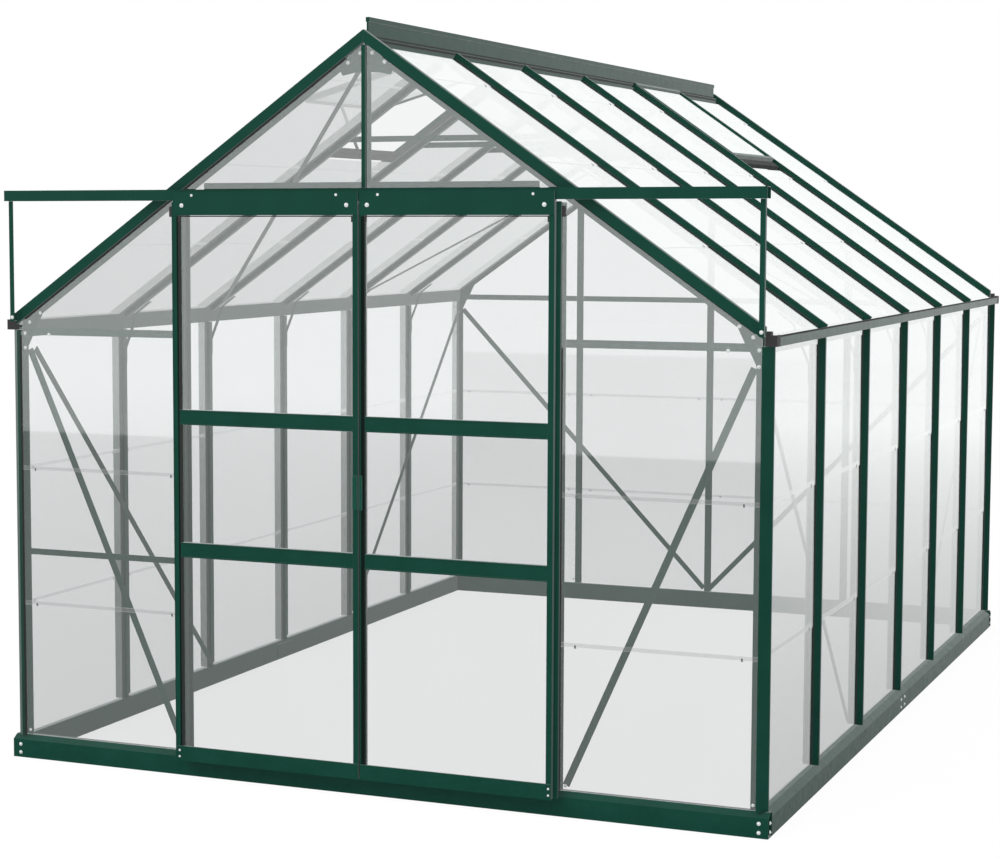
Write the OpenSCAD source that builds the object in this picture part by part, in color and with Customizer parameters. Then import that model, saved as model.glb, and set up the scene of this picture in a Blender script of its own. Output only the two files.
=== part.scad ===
// Glass greenhouse: aluminium frame, apex roof, four bays wide and six bays long,
// two sliding doors hung on a track across the front gable, one vent on each slope.
// Millimetres, +Z up. Origin on the ground at the middle of the base ring.
// +X is right seen from the front, and the door gable faces -Y.

/* [Overall] */
// Width over the base rails
width = 2570; // [2200:1:2900]
// Length over the base rails
length = 3830; // [3300:1:4400]
// Height of the roof's outer surface over the base rail's outer face
eaves_h = 1458; // [1350:1:1600]
// Height where the two roof surfaces would meet
apex_h = 2357; // [2200:1:2600]

/* [Base] */
// Base rail height
base_h = 74; // [60:1:100]
// Base rail depth, front to back
base_d = 44; // [44:1:60]
// Height of the base rail's upright face, below its sloping ledge
base_face = 60; // [40:1:70]
// Base rail wall
base_wall = 2; // [1.5:0.1:4]

/* [Glazing bars] */
// Width of a bar's inner flange
bar_w = 22; // [18:1:30]
// Width of the nose that stands outside the glass
nose_w = 12; // [10:1:18]
// Depth of a gable bar's nose
nose_h = 16; // [12:1:18]
// Room left for the seal between a side or roof bar's nose and the glass
seal_d = 8; // [6:1:12]
// Glass thickness
glass_t = 3; // [3:0.5:5]
// Width of the flange the glass rests on
seat_w = 32; // [28:1:40]
// Metal thickness of flanges
flange_t = 2; // [1.5:0.1:3]
// Side bars' outer face inside the base rail's face
side_in = 8; // [4:1:12]
// Side bars' outer face to the outer face of the glass
side_glass_in = 29; // [24:1:32]
// Depth of a side bar
side_bar_d = 50; // [46:1:60]
// Gable bars' outer face inside the base rail's face
gable_in = 1; // [1:1:4]
// Gable bars' outer face to the outer face of the glass
gable_glass_in = 19; // [18:1:24]
// Depth of a gable's upright bar
gable_bar_d = 37; // [34:1:46]
// Roof surface to the outer face of the roof glass
roof_glass_in = 26; // [24:1:30]
// Depth of a roof bar
roof_bar_d = 52; // [46:1:60]

/* [Eaves and ridge] */
// Underside of the eaves beam above the ground
beam_h = 1400; // [1300:1:1450]
// Base rail's outer face to the inner face of the eaves beam
beam_in = 50; // [44:1:60]
// Width of the eaves beam
beam_w = 9; // [8:1:12]
// Distance the gutter lip stands out past the base rail
gutter_out = 4; // [2:1:30]
// Underside of the gutter over the underside of the eaves beam
gutter_up = 24; // [16:1:40]
// Height of the gutter's outer face
gutter_h = 31; // [28:1:45]
// Ridge capping height above the roof's apex line
ridge_up = 39; // [25:1:60]
// Half the width of the ridge's drip lips
ridge_half = 16; // [14:1:26]

/* [Doors] */
// Mean width of the two sliding doors
door_w = 647; // [560:1:680]
// Distance of the doors' meeting line to the right of the middle
meet_x = 5; // [0:1:12]
// Bottom edge of the doors above the ground
door_z0 = 59; // [40:1:80]
// Height of a door's top panel and of its kick panel
panel_h = 73; // [60:1:90]
kick_h = 48; // [36:1:70]
// Gap between the two closed doors
door_gap = 6; // [6:1:20]
// Door stile and frame depth
door_d = 22; // [16:1:30]
// Distance from the base rail's face to the back of the doors
door_off = 25; // [16:1:40]
// Door stile width
stile_w = 17; // [14:1:30]
// Width of the flange beside the outer stile, in the plane of its back
stile_flange = 15; // [8:1:20]
// Height of the two middle rails' sections
mid_rail_h = 47; // [35:1:60]
// Height of the lower middle rail's centre
rail_low_z = 739.5; // [600:1:850]
// Height of the upper middle rail's centre
rail_high_z = 1162; // [1000:1:1350]

/* [Track] */
// Length of the door track
track_len = 2532; // [2400:1:2800]
// Track height
track_h = 34; // [32:1:45]
// Top of the track above the ground
track_z = 1877; // [1800:1:1920]

/* [Vents] */
// Length of a vent down the slope
vent_len = 513; // [450:1:640]
// Angle the left vent stands open
vent_open = 19; // [0:0.1:35]

/* [Hidden] */
half_w = width / 2;
half_l = length / 2;
tie_z = 2043;                                // underside of the collar ties
tie_h = 19;
corner = 21;                                 // bar line to base face at a corner
bay_x = (width - 2 * corner) / 4;
bay_y = (length - 2 * corner) / 6;
roof_a = atan((apex_h - eaves_h) / half_w);
gap = 0.5;                                   // fitting gap between neighbours
neck_w = 6;
pane_gap = neck_w / 2 + 1;                   // bar line to the edge of a glass sheet

// depths inward from the base rail's face, or down from the roof surface
side_glass_y = side_in + side_glass_in;
side_seat = side_glass_y + glass_t + gap;
side_inner = side_in + side_bar_d;
side_nose = side_glass_in - seal_d;
gable_glass_y = gable_in + gable_glass_in;
gable_seat = gable_glass_y + glass_t + gap;
gable_inner = gable_in + gable_bar_d;
roof_seat = roof_glass_in + glass_t + gap;
gusset_y = gable_seat + flange_t + gap;      // gusset plates lie on the seat flanges
gusset_t = 2;

gable_nose_d = 31;                           // gable bar's nose, measured down from the surface
gable_end = half_w - 31;                     // foot of a gable bar's nose
post_edge = 38;                              // corner post's narrow face, base face to inner edge
ridge_end = half_l - 34;                     // ridge stops behind the gable bars' noses
ridge_drop = 26;                             // ridge capping's edge below the apex line
ridge_web = 34;                              // depth of the ridge beam below that edge
cap_len = 42;
gutter_bead = 11;
roof_bar_start = 50;
roof_bar_end = (half_w - 3) / cos(roof_a);
roof_stem_end = (half_w - 36) / cos(roof_a); // inner flanges stop short of the eaves beam
roof_glass_end = (half_w - 6) / cos(roof_a);
rail_z = 1407;                               // rail across a gable at eaves height
rail_h = 24;
strut_z = 681;                               // short rail in the left front panel
strut_h = 20;
vent_y_left = -1.5 * bay_y;                  // middle of the bay that holds the left vent
vent_y_right = 1.5 * bay_y;
vent_start = 36;
sill_u = vent_start + vent_len + 4;
sill_len = 34;
glass_z0 = base_h + 2;
door_front = -(door_off + door_d);
door_z1 = track_z - 7;                       // top edge of the doors' facing plates
track_lip = 10;                              // turned-in edges that leave the hangers' slot
track_front = -(door_off + 13);
track_back = gable_in - gap;
stile_top = track_z - track_h - 6;
post_w = 15;                                 // track's end posts
brace_w = 22;
brace_t = 2.5;

green = [0.08, 0.27, 0.21];
grey = [0.38, 0.47, 0.44];
black = [0.06, 0.06, 0.07];
clear = [0.75, 0.85, 0.85, 0.35];

// roof surface height over a given distance from the middle, at a depth below the surface
function roof_z(x, depth = 0) = apex_h - tan(roof_a) * abs(x) - depth / cos(roof_a);

// ---- shared pieces ----------------------------------------------------------------

// glazing bar section: x across, y inward; nose and neck outside the seat flange
module bar_nose(face, seat, nose = nose_h) {
    translate([-nose_w / 2, face]) square([nose_w, nose]);
    translate([-neck_w / 2, face + nose - gap]) square([neck_w, seat + 2 * gap - face - nose]);
}

module bar_seat(seat) {
    translate([-seat_w / 2, seat]) square([seat_w, flange_t]);
}

module bar_stem(seat, inner) {
    translate([-flange_t, seat + flange_t - gap]) square([2 * flange_t, inner - seat - 2 * flange_t + 2 * gap]);
    translate([-bar_w / 2, inner - flange_t]) square([bar_w, flange_t]);
}

// upright bar of a gable, whose nose, seat and stem end at their own heights
module gable_upright(z0, nose_top, seat_top, stem_top) {
    translate([0, 0, z0]) linear_extrude(nose_top - z0) bar_nose(gable_in, gable_seat - 2 * gap);
    translate([0, 0, z0]) linear_extrude(seat_top - z0) {
        bar_nose(gable_in, gable_seat);
        bar_seat(gable_seat);
    }
    translate([0, 0, z0]) linear_extrude(stem_top - z0) bar_stem(gable_seat, gable_inner);
}

// puts a wall's own frame (x along the wall, y inward) on each side of the building
module on_front() { translate([0, -half_l, 0]) children(); }
module on_rear() { rotate([0, 0, 180]) translate([0, -half_l, 0]) children(); }
module on_left() { rotate([0, 0, -90]) translate([0, -half_w, 0]) children(); }
module on_right() { rotate([0, 0, 90]) translate([0, -half_w, 0]) children(); }

// roof frame: X down the slope, Z out of the roof surface
module on_slope(side) {
    if (side > 0) translate([0, 0, apex_h]) rotate([0, roof_a, 0]) children();
    else mirror([1, 0, 0]) translate([0, 0, apex_h]) rotate([0, roof_a, 0]) children();
}

// section drawn as (along Y, depth below the surface), run down the slope
module down_slope(u0, u1) {
    translate([u0, 0, 0]) rotate([90, 0, 90]) linear_extrude(u1 - u0) mirror([0, 1]) children();
}

// section drawn in the XZ plane, run along Y
module along_y(y0, y1) { translate([0, y1, 0]) rotate([90, 0, 0]) linear_extrude(y1 - y0) children(); }

// strip between two points of the XZ plane, t thick toward +Y
module flat_strip(p0, p1, w, t) {
    d = p1 - p0;
    translate([p0[0], 0, p0[1]]) rotate([0, -atan2(d[1], d[0]), 0])
        translate([0, 0, -w / 2]) cube([norm(d), t, w]);
}

// ---- base -------------------------------------------------------------------------

// section drawn as (depth inward, height)
module base_section() {
    ledge = base_d / 2;
    difference() {
        polygon([[0, 0], [0, base_face], [ledge, base_h], [base_d, base_h], [base_d, 0]]);
        polygon([[base_wall, base_wall], [base_wall, base_face - 1],
            [ledge + 1, base_h - base_wall], [base_d - base_wall, base_h - base_wall],
            [base_d - base_wall, base_wall]]);
    }
}

module base_run(len) {
    rotate([90, 0, 90]) translate([0, 0, -len / 2]) linear_extrude(len) base_section();
}

module base_front() { color(green) on_front() base_run(width); }
module base_rear() { color(green) on_rear() base_run(width); }

// side rails come in two lengths joined at mid-length by a plate inside
module side_base() {
    run = half_l - base_d - gap;
    for (s = [-1, 1]) translate([s * (run / 2 + gap), 0, 0]) base_run(run - 2 * gap);
    translate([-60, base_d + 0.2, 12]) cube([120, 3, 50]);
}
module base_left() { color(green) on_left() side_base(); }
module base_right() { color(green) on_right() side_base(); }

// ---- uprights ---------------------------------------------------------------------

// drawn as (inward from the side face, inward from the gable face)
module corner_outer() {
    polygon([[side_in, 28], [35, gable_in], [post_edge, gable_in], [post_edge, gable_seat],
        [60, gable_seat], [60, gable_seat + flange_t], [post_edge, gable_seat + flange_t],
        [post_edge, 36], [side_in, 36]]);
}

module corner_posts() {
    z0 = base_h + gap;
    color(green) for (sx = [0, 1]) for (sy = [0, 1]) mirror([sx, 0, 0]) mirror([0, sy, 0])
        translate([-half_w, -half_l, z0]) {
            linear_extrude(beam_h + gutter_up - gap - z0) corner_outer();
            // flange that seats the side glass, under the eaves beam
            translate([side_seat, 35, 0]) cube([flange_t, 23, beam_h - gap - z0]);
        }
}

// the noses run up in front of the eaves beam to the gutter
module side_bar_row() {
    z0 = base_h + gap;
    for (i = [-2 : 2]) translate([i * bay_y, 0, z0]) {
        linear_extrude(beam_h + gutter_up - gap - z0) translate([-nose_w / 2, side_in])
            square([nose_w, side_nose]);
        linear_extrude(beam_h - gap - z0) {
            bar_nose(side_in, side_seat, side_nose);
            bar_seat(side_seat);
            bar_stem(side_seat, side_inner);
        }
    }
}
module side_bars() {
    color(green) {
        on_left() side_bar_row();
        on_right() side_bar_row();
    }
}

module door_posts() {
    top = roof_z(bay_x + seat_w / 2, roof_bar_d) - 6;
    color(green) on_front() for (s = [-1, 1]) translate([s * bay_x, 0, 0])
        gable_upright(base_h + gap, track_z - track_h - 8, top, top);
}

plate_drop = roof_bar_d + 30;                // apex plate's lower edge, down from the surface
plate_half = 40;
centre_nose_top = roof_z(bar_w / 2, gable_nose_d) - 1;
centre_seat_top = roof_z(seat_w / 2, roof_bar_d) - 1;
centre_stem_top = roof_z(plate_half, plate_drop) - 1;

module gable_centre_bar() {
    z0 = track_z + 3;
    z1 = track_z + 22;
    color(green) on_front() {
        translate([0, 0, z0]) linear_extrude(centre_nose_top - z0)
            bar_nose(gable_in, gable_seat - 2 * gap);
        translate([0, 0, z1]) linear_extrude(centre_seat_top - z1) {
            bar_nose(gable_in, gable_seat);
            bar_seat(gable_seat);
        }
        translate([0, 0, z1]) linear_extrude(centre_stem_top - z1) bar_stem(gable_seat, gable_inner);
    }
}

module rear_bars() {
    nose_top = roof_z(bay_x + bar_w / 2, gable_nose_d) - 1;
    top = roof_z(bay_x + seat_w / 2, roof_bar_d) - 1;
    color(green) on_rear() {
        for (s = [-1, 1]) translate([s * bay_x, 0, 0]) gable_upright(base_h + gap, nose_top, top, top);
        gable_upright(base_h + gap, centre_nose_top, centre_seat_top, centre_stem_top);
    }
}

// ---- rails across the gables ------------------------------------------------------

// rail behind the joint of the upper and the lower glass, x0 < x1
module wall_rail(x0, x1) {
    translate([x0, gable_seat, rail_z]) cube([x1 - x0, flange_t, rail_h]);
}

side_clear = half_w - 61;                    // corner posts' flanges end here
upright_half = seat_w / 2 + 1;

module front_rails() {
    color(green) on_front() {
        for (s = [0, 1]) mirror([s, 0, 0])
            wall_rail(-side_clear, -bay_x - upright_half);
        translate([-side_clear, gable_seat, strut_z])
            cube([side_clear - bay_x - upright_half, flange_t, strut_h]);
    }
}

module rear_eaves_rail() {
    color(green) on_rear() for (s = [0, 1]) mirror([s, 0, 0]) {
        wall_rail(-side_clear, -bay_x - upright_half);
        wall_rail(upright_half - bay_x, -upright_half);
    }
}

module front_header() {
    z = track_z - track_h - 5;
    beam_z = track_z - 26;
    beam_top = track_z + 21;
    // outer rail behind the track, ending where the gable bars come down
    span = (apex_h - track_z - (gable_nose_d + 5) / cos(roof_a)) / tan(roof_a) - 4;
    // inner beam behind the glass
    in_span = (apex_h - beam_top - (roof_bar_d + 2) / cos(roof_a)) / tan(roof_a);
    color(green) on_front() {
        translate([-span, gable_in, z]) cube([2 * span, nose_h - 1, track_z - z]);
        translate([-in_span, gable_seat + gap, beam_z]) cube([2 * in_span, 3, beam_top - beam_z]);
        translate([-in_span, gable_seat + 2, beam_z]) cube([2 * in_span, 14, 3]);
    }
}

// ---- roof frame -------------------------------------------------------------------

// gable bar section: x inward from the gable face, y depth below the roof surface
module gable_nose() {
    back = gable_in + nose_h;
    edge = gable_seat + flange_t;
    polygon([[gable_in, 0], [back + 7, 0], [back + 7, 22], [edge, 22], [edge, 25], [back, 25],
        [back, gable_nose_d], [gable_in, gable_nose_d]]);
}
module gable_flange() {
    translate([gable_seat, 24]) square([flange_t, roof_bar_d - 24]);
}
module roof_glass_seat() {
    translate([gable_seat + 1, roof_seat + gap]) square([26, flange_t]);
}

// gable bar piece down one slope, kept between two distances from the middle
module gable_run(side, x0, x1) {
    intersection() {
        on_slope(side) translate([0, -half_l, 0])
            down_slope(-60, half_w / cos(roof_a) + 60) children();
        translate([side > 0 ? x0 : -x1, -half_l - 10, 0]) cube([x1 - x0, 100, apex_h + 100]);
    }
}

// where the flange's lower edge comes down to the corner posts' tops
flange_end = (apex_h - beam_h - gutter_up - gap - roof_bar_d / cos(roof_a)) / tan(roof_a);

module gable_pair() {
    for (side = [-1, 1]) {
        gable_run(side, 0.2, gable_end) gable_nose();
        gable_run(side, 0.2, flange_end) gable_flange();
        gable_run(side, ridge_half + 1, half_w - beam_in - 2) roof_glass_seat();
    }
}

module gable_bars_front() { color(green) gable_pair(); }
module gable_bars_rear() { color(green) mirror([0, 1, 0]) gable_pair(); }

module roof_bar_set(side) {
    on_slope(side) for (i = [-2 : 2]) translate([0, i * bay_y, 0]) {
        down_slope(roof_bar_start, roof_bar_end) {
            bar_nose(0, roof_seat, roof_glass_in - seal_d);
            bar_seat(roof_seat);
        }
        down_slope(roof_bar_start, roof_stem_end) bar_stem(roof_seat, roof_bar_d);
    }
}
module roof_bars_left() { color(green) roof_bar_set(-1); }
module roof_bars_right() { color(green) roof_bar_set(1); }

module ridge() {
    t = 3;
    bead = 14;
    beam = 13;
    top = apex_h + ridge_up;
    z0 = apex_h - ridge_drop;
    color(grey) along_y(-ridge_end, ridge_end) {
        // upright fin with its bead, on the drip lips
        translate([-t, z0]) square([2 * t, ridge_up + ridge_drop]);
        translate([-2 * t, top - bead]) square([4 * t, bead]);
        translate([-ridge_half, z0]) square([2 * ridge_half, t]);
        // hollow beam below
        difference() {
            translate([-beam, z0 - ridge_web]) square([2 * beam, ridge_web + gap]);
            translate([t - beam, z0 - ridge_web + t]) square([2 * (beam - t), ridge_web - t]);
        }
    }
}

// eaves beam, drawn for the right side
module eaves_section() {
    a = half_w - beam_in;
    b = a + beam_w;
    depth = roof_seat + flange_t;
    top_a = roof_z(a, depth) - 1;
    top_b = roof_z(b, depth) - 1;
    difference() {
        polygon([[a, beam_h], [a, top_a], [b, top_b], [b, beam_h]]);
        polygon([[a + 2, beam_h + 2], [a + 2, top_a - 4], [b - 2, top_b - 3], [b - 2, beam_h + 2]]);
    }
}

// the gutter's floor beside the beam, and its upright outer face with a bead along the top
module gutter_section() {
    a = half_w - beam_in + beam_w + gap;
    b = half_w + gutter_out;
    t = 3;
    z = beam_h + gutter_up;
    top = z + gutter_h;
    translate([a, z]) square([b - t - gap - a, t]);
    translate([b - t, z]) square([t, gutter_h]);
    translate([b - t - 2, top - gutter_bead]) square([t + 2, gutter_bead]);
}

module eaves_right() { color(grey) along_y(-half_l + 39, half_l - 39) eaves_section(); }
module eaves_left() { mirror([1, 0, 0]) eaves_right(); }

module gutter_right() {
    color(grey) along_y(-half_l + cap_len + gap, half_l - cap_len - gap) gutter_section();
}
module gutter_left() { mirror([1, 0, 0]) gutter_right(); }

// end caps of the gutters, open at the top and toward the roof
module gutter_caps() {
    x0 = gable_end + gap;
    x1 = half_w + gutter_out;
    z = beam_h + gutter_up;
    h = gutter_h + 2;
    color(black) for (sx = [0, 1]) for (sy = [0, 1]) mirror([sx, 0, 0]) mirror([0, sy, 0])
        translate([0, -half_l, 0]) {
            translate([x0, 5, z]) cube([x1 - x0, 3, h]);
            translate([x0 + 9, 5, z]) cube([x1 - x0 - 9, cap_len - 5, 3]);
            translate([x1 - 3, 5, z]) cube([3, cap_len - 5, h]);
            // upright lug beside the foot of the gable bar
            translate([x0 + 2, 6, z]) cube([15, 20, h + 10]);
        }
}

// ---- ties and braces --------------------------------------------------------------

module collar_ties() {
    reach = (apex_h - (tie_z + tie_h + 1) - (roof_seat + flange_t + gap) / cos(roof_a)) / tan(roof_a);
    color(green) for (i = [-2 : 2])
        translate([-reach, i * bay_y + bar_w / 2 + gap, tie_z]) cube([2 * reach, 3, tie_h]);
}

// bent strips from each side bar up to its roof bar
module knee_braces() {
    x_wall = half_w - side_inner - gap;
    x_roof = half_w - 130;
    z_roof = roof_z(x_roof, roof_bar_d + 1);
    z_wall = beam_h - 65;
    color(green) for (sx = [0, 1]) mirror([sx, 0, 0]) for (i = [-2 : 2])
        along_y(i * bay_y - 8, i * bay_y + 8)
            polygon([[x_wall, z_wall - 55], [x_wall, z_wall], [x_roof + 20, z_roof - 22],
                [x_roof - 30, z_roof + 14], [x_roof - 32, z_roof + 12],
                [x_roof + 17, z_roof - 24], [x_wall - 3, z_wall - 2], [x_wall - 3, z_wall - 55]]);
}

module wall_braces() {
    top_z = beam_h - 40;
    foot_z = base_h + 16;
    gable_x = half_w - 67;
    side_x = 3 * bay_y - 52;
    color(green) {
        for (s = [0, 1]) mirror([s, 0, 0]) {
            on_front() translate([0, gusset_y + gusset_t + gap, 0])
                flat_strip([gable_x, top_z], [bay_x + 24, foot_z], brace_w, brace_t);
            on_rear() translate([0, gable_inner + gap, 0])
                flat_strip([gable_x, top_z], [14, foot_z], brace_w, brace_t);
            on_left() translate([0, side_inner + gap, 0]) {
                flat_strip([side_x, top_z], [bay_y + 8, foot_z], brace_w, brace_t);
                flat_strip([-side_x, top_z], [-bay_y - 8, foot_z], brace_w, brace_t);
            }
        }
    }
}

module roof_braces() {
    u0 = 60;
    u1 = roof_stem_end - 60;
    color(green) for (side = [-1, 1]) on_slope(side) for (s = [-1, 1]) {
        y0 = s * (half_l - gable_inner - 34);
        y1 = s * (bay_y + 4);
        a = atan2(y1 - y0, u1 - u0);
        translate([u0, y0, -roof_bar_d - gap - brace_t]) rotate([0, 0, a])
            translate([0, -brace_w / 2, 0]) cube([norm([u1 - u0, y1 - y0]), brace_w, brace_t]);
    }
}

module gable_gussets() {
    lap = roof_bar_d - 16;                   // upper edges lie behind the gable bars' flanges
    translate([0, gusset_y, 0]) rotate([90, 0, 0]) mirror([0, 0, 1]) linear_extrude(gusset_t) {
        // apex plate
        polygon([[0, roof_z(0, lap)], [95, roof_z(95, lap)], [80, roof_z(80, roof_bar_d + 14)],
            [plate_half, roof_z(plate_half, plate_drop)],
            [-plate_half, roof_z(plate_half, plate_drop)],
            [-80, roof_z(80, roof_bar_d + 14)], [-95, roof_z(95, lap)]]);
        // eaves corner plates
        for (s = [0, 1]) mirror([s, 0]) {
            x = half_w - post_edge - 2;
            polygon([[x, roof_z(x, lap)], [x - 77, roof_z(x - 77, lap)],
                [x - 77, roof_z(x - 77, roof_bar_d + 1)], [x - 54, rail_z + 21], [x - 40, rail_z - 1],
                [x - 20, rail_z - 42], [x - 20, rail_z - 62], [x, rail_z - 62]]);
        }
    }
}

module gussets() {
    color(green) {
        on_front() gable_gussets();
        on_rear() gable_gussets();
    }
}

// ---- glass ------------------------------------------------------------------------

module side_glass() {
    edge = 38;                               // gable face to the edge of the first sheet
    h = beam_h + gutter_up - 1 - glass_z0;
    for (i = [-3 : 2]) {
        x0 = i == -3 ? -half_l + edge : i * bay_y + pane_gap;
        x1 = i == 2 ? half_l - edge : (i + 1) * bay_y - pane_gap;
        translate([x0, side_glass_y, glass_z0]) cube([x1 - x0, glass_t, h]);
    }
}
module glass_left() { color(clear) on_left() side_glass(); }
module glass_right() { color(clear) on_right() side_glass(); }

// gable sheets below and above the rail's middle; an upper sheet's top follows the roof
module gable_pane(x0, x1) {
    top = rail_z + rail_h / 2 - gap;
    translate([x0, gable_glass_y, glass_z0]) cube([x1 - x0, glass_t, top - glass_z0]);
}
module gable_sheet(x0, x1, z0) {
    depth = gable_nose_d - 3;
    translate([0, gable_glass_y + glass_t, 0]) rotate([90, 0, 0]) linear_extrude(glass_t)
        polygon([[x0, z0], [x1, z0], [x1, roof_z(x1, depth)], [x0, roof_z(x0, depth)]]);
}

gable_edge = half_w - post_edge - 1;
upper_z = rail_z + rail_h / 2 + gap;

module glass_front() {
    color(clear) on_front() for (s = [0, 1]) mirror([s, 0, 0]) {
        gable_pane(bay_x + pane_gap, gable_edge);
        gable_sheet(bay_x + pane_gap, gable_edge - 4, upper_z);
        gable_sheet(pane_gap, bay_x - 12, track_z + 3);
    }
}

module glass_rear() {
    color(clear) on_rear() for (s = [0, 1]) mirror([s, 0, 0]) {
        gable_pane(bay_x + pane_gap, gable_edge);
        gable_pane(pane_gap, bay_x - pane_gap);
        gable_sheet(bay_x + pane_gap, gable_edge - 4, upper_z);
        gable_sheet(pane_gap, bay_x - pane_gap, upper_z);
    }
}

// one sheet per bay; the bay that holds the vent starts below its sill
module roof_glass(side, vent_bay) {
    edge = gable_seat + flange_t + 2;
    on_slope(side) for (i = [-3 : 2]) {
        y0 = i == -3 ? -half_l + edge : i * bay_y + pane_gap;
        y1 = i == 2 ? half_l - edge : (i + 1) * bay_y - pane_gap;
        u0 = i == vent_bay ? sill_u + sill_len + 2 : 47;
        translate([u0, y0, -roof_glass_in - glass_t]) cube([roof_glass_end - u0, y1 - y0, glass_t]);
    }
}
module roof_glass_left() { color(clear) roof_glass(-1, -2); }
module roof_glass_right() { color(clear) roof_glass(1, 1); }

// ---- vents ------------------------------------------------------------------------

sash_y = bay_y - nose_w - 6;                 // sash fits between the bars' noses
sash_t = 20;
sash_w = 16;

module on_vent(side, yc, open) {
    on_slope(side) translate([vent_start, yc, 0]) rotate([0, -open, 0]) children();
}

// two side members with a head and a foot between them
module sash() {
    inside = sash_y - 2 * sash_w - gap;
    translate([0, 0, 2 - sash_t]) {
        for (s = [-1, 1]) translate([0, s * (sash_y - sash_w) / 2 - sash_w / 2, 0])
            cube([vent_len, sash_w, sash_t]);
        for (u = [0, vent_len - sash_w]) translate([u, -inside / 2, 0]) cube([sash_w, inside, sash_t]);
    }
}

module sash_glass() {
    inside = sash_y - 2 * sash_w - 1;
    translate([sash_w + gap, -inside / 2, -12]) cube([vent_len - 2 * sash_w - 1, inside, glass_t]);
}

module vent_left_sash() { color(green) on_vent(-1, vent_y_left, vent_open) sash(); }
module vent_left_glass() { color(clear) on_vent(-1, vent_y_left, vent_open) sash_glass(); }
module vent_right_sash() { color(green) on_vent(1, vent_y_right, 0) sash(); }
module vent_right_glass() { color(clear) on_vent(1, vent_y_right, 0) sash_glass(); }

// bar across the bay below a vent, over the top edge of the glass
module sill(side, yc) {
    len = bay_y - seat_w - 2;
    on_slope(side) translate([sill_u, yc - len / 2, -roof_seat - 1]) cube([sill_len, len, 18]);
}
module vent_sills() {
    color(green) {
        sill(-1, vent_y_left);
        sill(1, vent_y_right);
    }
}

// bent arm from the left vent's sill up past the foot of its sash
module vent_stay() {
    foot_x = (sill_u + sill_len) * cos(roof_a) - 14;
    foot_z = roof_z(foot_x) - 3;
    tip_u = vent_start * cos(roof_a) + vent_len * cos(roof_a - vent_open);
    tip_z = apex_h - vent_start * sin(roof_a) - vent_len * sin(roof_a - vent_open);
    mid = [(foot_x + tip_u + 14) / 2, (foot_z + tip_z) / 2];
    color(green) mirror([1, 0, 0]) along_y(vent_y_left, vent_y_left + 8)
        polygon([[foot_x - 4, foot_z], [foot_x + 5, foot_z], [mid[0] + 5, mid[1] - 1],
            [tip_u + 18, tip_z], [tip_u + 10, tip_z + 3], [mid[0] - 4, mid[1] + 1]]);
}

// ---- track ------------------------------------------------------------------------

module door_track() {
    t = 2;
    z0 = track_z - track_h;
    slot0 = track_front + track_lip;
    slot1 = track_back - track_lip;
    color(green) on_front() translate([-track_len / 2, 0, 0]) rotate([90, 0, 90])
        linear_extrude(track_len)
            polygon([[track_front, z0], [track_front, track_z], [track_back, track_z],
                [track_back, z0], [slot1, z0], [slot1, z0 + t], [track_back - t, z0 + t],
                [track_back - t, track_z - t], [track_front + t, track_z - t],
                [track_front + t, z0 + t], [slot0, z0 + t], [slot0, z0]]);
}

module track_posts() {
    t = 3;
    out = 24;
    foot = roof_z(track_len / 2 - 15) - 30;
    h = track_z - track_h - foot - gap;
    color(green) on_front() for (s = [0, 1]) mirror([s, 0, 0])
        translate([track_len / 2 - 23, 0, foot]) {
            translate([0, -out, 0]) cube([post_w, t, h]);
            translate([post_w - t, -out, 0]) cube([t, 14, h]);
            // foot and its tongue, bolted to the foot of the gable bar
            translate([0, -out, 0]) cube([post_w, out - gap, t]);
            translate([0, -t, 0]) cube([post_w, t - gap, 28]);
        }
}

// ---- doors ------------------------------------------------------------------------

// drawn for the right door: x from its meeting stile, y inward from the base face
plate_t = 2.8;                               // facing plates of the top panel and the kick panel
frame_y = door_front + plate_t + 0.2;

module door_stiles(w) {
    h = stile_top - door_z0 - 2;
    d = door_d - plate_t - 0.2;
    step_x = w - stile_flange;
    translate([0, frame_y, door_z0 + 2]) cube([stile_w, d, h]);
    translate([step_x - stile_w, frame_y, door_z0 + 2]) cube([stile_w, d, h]);
    // flange beside the outer stile
    translate([step_x - 1, -door_off - 4, door_z0 + 2]) cube([stile_flange + 1, 4, h]);
}

module door_rail(w, z, h) {
    len = w - 2 * stile_w - stile_flange - 0.4;
    translate([stile_w + 0.2, frame_y, z]) cube([len, door_d - plate_t - 0.2, h]);
}

module door_frame(w) {
    face_w = w - stile_flange;
    door_stiles(w);
    door_rail(w, rail_low_z - mid_rail_h / 2, mid_rail_h);
    door_rail(w, rail_high_z - mid_rail_h / 2, mid_rail_h);
    door_rail(w, door_z1 - panel_h, stile_top - door_z1 + panel_h);
    door_rail(w, door_z0, kick_h - 4);
    translate([0, door_front, door_z1 - panel_h]) cube([face_w, plate_t, panel_h]);
    translate([0, door_front, door_z0]) cube([face_w, plate_t, kick_h]);
}

module door_glass(w) {
    g = 1;
    y = door_front + door_d / 2;
    x0 = stile_w + g;
    pane_w = w - 2 * stile_w - stile_flange - 2 * g;
    levels = [[door_z0 + kick_h - 3, rail_low_z - mid_rail_h / 2 - g],
        [rail_low_z + mid_rail_h / 2 + g, rail_high_z - mid_rail_h / 2 - g],
        [rail_high_z + mid_rail_h / 2 + g, door_z1 - panel_h - g]];
    for (l = levels) translate([x0, y, l[0]]) cube([pane_w, glass_t, l[1] - l[0]]);
}

// arm off the back of the top panel, up through the track's slot to its roller
module hanger(x) {
    arm_y = -21;
    z0 = door_z1 - panel_h + 6;
    slot_z = track_z - track_h;
    translate([x - 14, -door_off + 0.2, z0]) cube([28, arm_y + door_off + 2, 30]);
    translate([x - 14, arm_y, z0]) cube([28, 4, slot_z + 22 - z0]);
    translate([x, arm_y + 8, slot_z + 15]) rotate([90, 0, 0]) cylinder(d = 14, h = 12, $fn = 32);
}

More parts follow.
